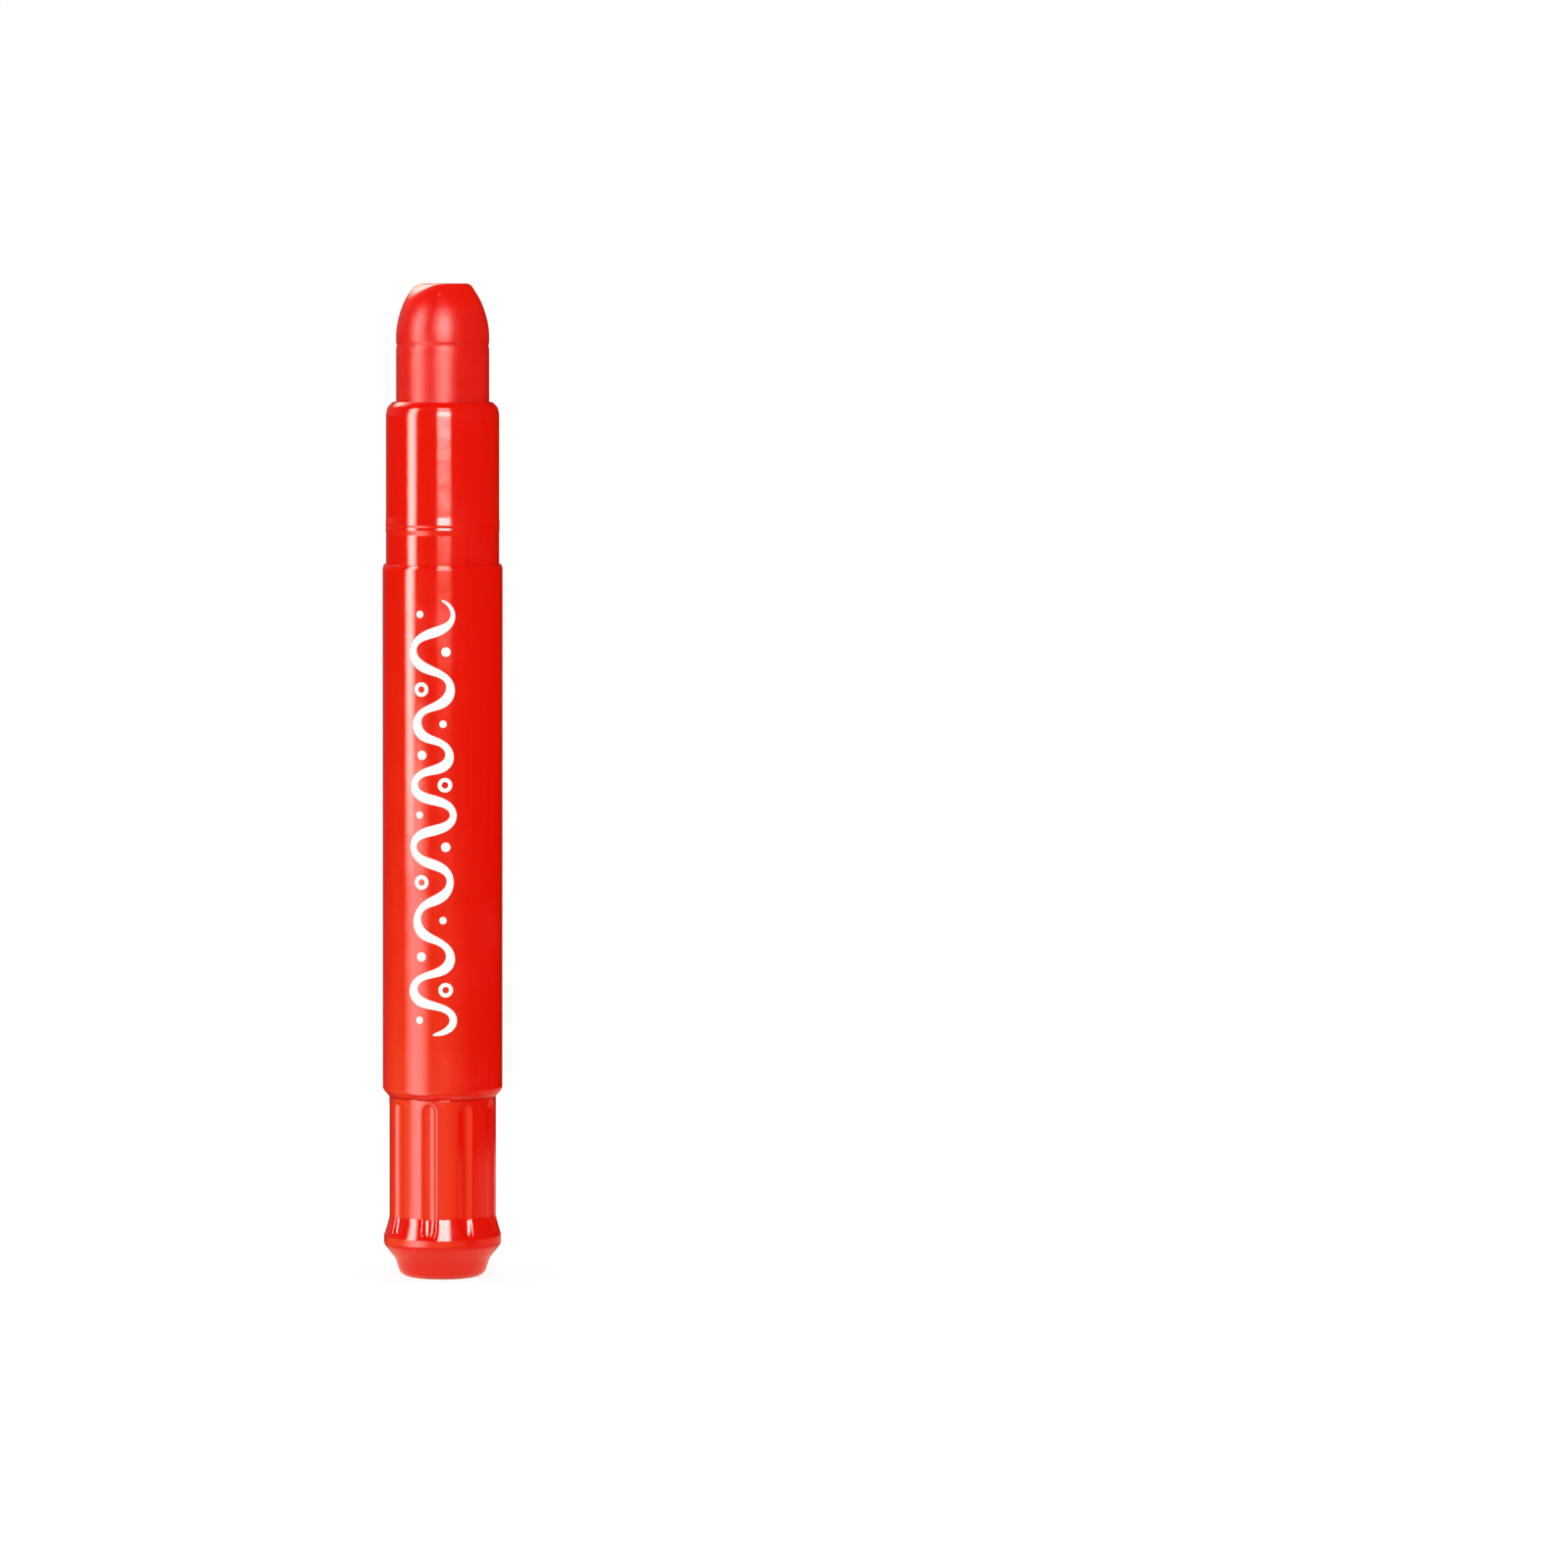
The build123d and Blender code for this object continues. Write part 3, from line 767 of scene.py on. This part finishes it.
def smooth_ramp(tree, value, low, high, bottom=0.0, top=1.0):
    """A value's smooth change from bottom to top between two limits, as one node."""
    values = {"Value": value, "From Min": low, "From Max": high, "To Min": bottom, "To Max": top}
    settings = {"interpolation_type": "SMOOTHSTEP"}
    return place_node(tree, "ShaderNodeMapRange", values, **settings).outputs[0]


def bearing_of(tree, place):
    """The bearing of a place about the upright axis, nought at the front and positive to the right."""
    parts = place_node(tree, "ShaderNodeSeparateXYZ", {0: place}).outputs
    return worked(tree, "ARCTAN2", parts["X"], worked(tree, "MULTIPLY", parts["Y"], -1.0))


floor_spot = place_node(floor_tree, "ShaderNodeTexCoord").outputs["Object"]
floor_bearing = bearing_of(floor_tree, floor_spot)
floor_length = place_node(floor_tree, "ShaderNodeVectorMath", {0: floor_spot}, operation="LENGTH")
floor_reach = floor_length.outputs["Value"]
clear_of_foot = smooth_ramp(floor_tree, floor_reach, 0.012, 0.03)
# Painted pink bounce light round the foot, as if the red crayon lit the table; only reflections see it
painted_foot_bounce_broad = smooth_ramp(floor_tree, floor_reach, 0.01, 0.022, 0.72, 0.0)
painted_foot_bounce_close = smooth_ramp(floor_tree, floor_reach, 0.008, 0.013, 0.5, 0.0)
painted_foot_bounce = worked(floor_tree, "ADD", painted_foot_bounce_broad, painted_foot_bounce_close)
# Painted amber glow on the table in front, fading with distance; only reflections see it
right_side = smooth_ramp(floor_tree, floor_bearing, math.radians(70), math.radians(-10))
left_side = smooth_ramp(floor_tree, floor_bearing, math.radians(-150), math.radians(-80))
fall_off = worked(floor_tree, "MINIMUM", worked(floor_tree, "DIVIDE", 0.22, floor_reach), 1.0)
painted_front_glow = worked(floor_tree, "MULTIPLY", worked(floor_tree, "MULTIPLY", right_side, left_side), fall_off)
# Painted reflection of the left card on the table, seen only by reflections
card_offset = worked(floor_tree, "ABSOLUTE", worked(floor_tree, "ADD", floor_bearing, math.radians(51)))
painted_card_reflection = smooth_ramp(floor_tree, card_offset, math.radians(31), math.radians(3), 0.0, 5.0)
painted_card_reflection = worked(floor_tree, "MULTIPLY", painted_card_reflection, smooth_ramp(floor_tree, floor_reach, 1.2, 0.95))
# Painted pink light on the table at the right and behind, seen only by reflections
painted_right_reflection = smooth_ramp(floor_tree, floor_bearing, math.radians(50), math.radians(80), 0.0, 0.65)
painted_right_reflection = worked(floor_tree, "MULTIPLY", painted_right_reflection, smooth_ramp(floor_tree, floor_reach, 0.17, 0.12))
painted_back_reflection = smooth_ramp(floor_tree, floor_bearing, math.radians(-120), math.radians(-150), 0.0, 0.12)
painted_far_pink = worked(floor_tree, "MULTIPLY", worked(floor_tree, "ADD", painted_right_reflection, painted_back_reflection), clear_of_foot)
painted_far_glow = worked(floor_tree, "MULTIPLY", sum_of(floor_tree, painted_card_reflection, painted_front_glow, 1.1), clear_of_foot)


def amber_glow(tree, level, pink_share=0.0):
    """A glow whose weak parts are amber and whose strong parts are white, with a share of pink."""
    faint_blue = worked(tree, "MULTIPLY", level, 0.25)
    blue = worked(tree, "MAXIMUM", worked(tree, "SUBTRACT", level, 0.65), faint_blue)
    red = sum_of(tree, pink_share, level, 1.25)
    green = sum_of(tree, level, pink_share, 0.6)
    blue = sum_of(tree, blue, pink_share, 0.42)
    values = {"Red": red, "Green": green, "Blue": blue}
    colour = place_node(tree, "ShaderNodeCombineColor", values).outputs[0]
    return place_node(tree, "ShaderNodeEmission", {"Color": colour}).outputs[0]


def shader_mix(tree, share, first, second):
    """One shader turning into another by a share, as one node."""
    return place_node(tree, "ShaderNodeMixShader", {0: share, 1: first, 2: second}).outputs[0]


# The table glows with this painted light for reflection rays only; camera rays see it mostly even white
floor_painted_glow = amber_glow(floor_tree, painted_far_glow, worked(floor_tree, "ADD", painted_foot_bounce, painted_far_pink))
white_light = {"Color": (1, 1, 1, 1), "Strength": 1.02}
floor_white = place_node(floor_tree, "ShaderNodeEmission", white_light).outputs[0]
floor_ray = place_node(floor_tree, "ShaderNodeLightPath").outputs
bleached = worked(floor_tree, "MULTIPLY", floor_ray["Is Camera Ray"], 0.85)
floor_look = shader_mix(floor_tree, bleached, floor_shader.outputs[0], floor_white)
floor_look = shader_mix(floor_tree, floor_ray["Is Glossy Ray"], floor_look, floor_painted_glow)
floor_tree.links.new(floor_look, floor_tree.nodes["Material Output"].inputs["Surface"])
floor.data.materials.append(floor_material)

# Camera: a long lens a metre in front, level with the tip and looking slightly down.
camera_place = Vector((0, -1.0, 0.125))
camera_aim = Vector((0.0428, 0, 0.06191))
camera_roll = Quaternion((0, 0, 1), math.radians(0.157))
camera = bpy.data.objects.new("camera", bpy.data.cameras.new("camera"))
bpy.context.scene.collection.objects.link(camera)
camera.location = camera_place
camera.rotation_euler = ((camera_aim - camera_place).to_track_quat("-Z", "Y") @ camera_roll).to_euler()
camera.data.sensor_width = 36
camera.data.lens = 183.5
camera.data.clip_start = 0.05
camera.data.clip_end = 60
bpy.context.scene.camera = camera


# Light: an even white dome, a little brighter from the front left, for the colour of the plastic,
# and sheer cards that only reflections see: two at the left, one behind the camera and a small one
# behind the tip.
def glow_card(name, bearing, reach, bottom, width, height, soft_edge, level_by_height):
    """A sheer upright card that faces the crayon and glows, with soft sides and a level set by height."""
    bpy.ops.object.select_all(action="DESELECT")
    bpy.ops.mesh.primitive_plane_add(size=1)
    card = bpy.context.object
    card.name = name
    card.scale = (width, height, 1)
    card.location = (math.sin(bearing) * reach, -math.cos(bearing) * reach, bottom + height / 2)
    towards = Vector((-card.location.x, -card.location.y, 0))
    card.rotation_euler = towards.to_track_quat("Z", "Y").to_euler()
    material = bpy.data.materials.new(name)
    material.use_nodes = True
    tree = material.node_tree
    tree.nodes.clear()
    spot = place_node(tree, "ShaderNodeTexCoord").outputs["Object"]
    parts = place_node(tree, "ShaderNodeSeparateXYZ", {0: spot}).outputs
    side = worked(tree, "ABSOLUTE", parts["X"])
    edge = smooth_ramp(tree, side, 0.5, 0.5 - soft_edge)
    rise = worked(tree, "MULTIPLY", worked(tree, "ADD", parts["Y"], 0.5), height)
    power = worked(tree, "MULTIPLY", level_by_height(tree, rise), edge)
    clear = tree.nodes.new("ShaderNodeBsdfTransparent").outputs[0]
    sheer = place_node(tree, "ShaderNodeAddShader", {0: amber_glow(tree, power), 1: clear}).outputs[0]
    end = place_node(tree, "ShaderNodeOutputMaterial")
    tree.links.new(sheer, end.inputs["Surface"])
    card.data.materials.append(material)
    card.visible_camera = False
    card.visible_diffuse = False
    card.visible_shadow = False


def left_level(tree, rise):
    """The left card's glow: full above a hand's breadth, and less towards the table."""
    return smooth_ramp(tree, rise, -0.01, 0.055, 8.0, 16.0)


def side_level(tree, rise):
    """The faint glow beside the left card."""
    return smooth_ramp(tree, rise, 0.0, 0.05, 2.6, 0.0)


def climb_of(tree, rise, level, height, reach):
    """A glow that has a level at a height and grows by a fixed share with each reach upwards."""
    power = worked(tree, "DIVIDE", worked(tree, "SUBTRACT", rise, height), reach)
    return worked(tree, "MULTIPLY", worked(tree, "EXPONENT", power), level)


def front_level(tree, rise):
    """The front card's glow, which grows steeply with height to its full level, with a dim band above."""
    low = climb_of(tree, rise, 0.75, 0.0288, 0.05)
    high = climb_of(tree, rise, 3.0, 0.075, 0.012)
    full = worked(tree, "MINIMUM", worked(tree, "ADD", low, high), 20.0)
    dimmed = worked(tree, "MULTIPLY", full, smooth_ramp(tree, rise, 0.75, 0.95, 1.0, 0.3))
    return worked(tree, "ADD", dimmed, smooth_ramp(tree, rise, 1.14, 1.35, 0.0, 11.0))


def gleam_level(tree, rise):
    """The glow of the small card behind the tip, soft above and below."""
    low = smooth_ramp(tree, rise, 0.0, 0.03)
    high = smooth_ramp(tree, rise, 0.12, 0.09, 0.0, 5.2)
    return worked(tree, "MULTIPLY", low, high)


glow_card("left_card", math.radians(-65.3), 0.8, 0.0, 0.405, 0.82, 0.43, left_level)
glow_card("side_card", math.radians(-47), 0.82, 0.0, 0.34, 0.82, 0.45, side_level)
glow_card("front_card", math.radians(2.8), 1.5, 0.0, 0.86, 1.9, 0.19, front_level)
glow_card("tip_card", math.radians(-155), 0.095, 0.145, 0.11, 0.12, 0.3, gleam_level)

world = bpy.data.worlds.new("studio")
bpy.context.scene.world = world
world.use_nodes = True
sky = world.node_tree
sky.nodes.clear()
sky_way = place_node(sky, "ShaderNodeTexCoord").outputs["Generated"]
front_left = Vector((-0.7, -0.7, 0.0))
back_left = Vector((-0.6, 0.8, 0.0))
dome_level = sum_of(sky, 1.13, along(sky, sky_way, front_left), 0.25)
wide_angle = math.radians(60)
tight_angle = math.radians(20)
back_gleam = smooth_ramp(sky, along(sky, sky_way, back_left), math.cos(wide_angle), math.cos(tight_angle))
edge_level = sum_of(sky, 0.006, back_gleam, 0.17)
ray = place_node(sky, "ShaderNodeLightPath")
seen = place_node(sky, "ShaderNodeBackground", {"Color": (1, 1, 1, 1), "Strength": 1.0})
dome = place_node(sky, "ShaderNodeBackground", {"Color": (1, 1, 1, 1), "Strength": dome_level})
gleam = place_node(sky, "ShaderNodeBackground", {"Color": (1, 1, 1, 1), "Strength": edge_level})
unseen = shader_mix(sky, ray.outputs["Is Glossy Ray"], dome.outputs[0], gleam.outputs[0])
whole = shader_mix(sky, ray.outputs["Is Camera Ray"], unseen, seen.outputs[0])
sky_end = place_node(sky, "ShaderNodeOutputWorld")
sky.links.new(whole, sky_end.inputs["Surface"])
bpy.context.scene.view_settings.view_transform = "Standard"
bpy.context.scene.view_settings.look = "None"
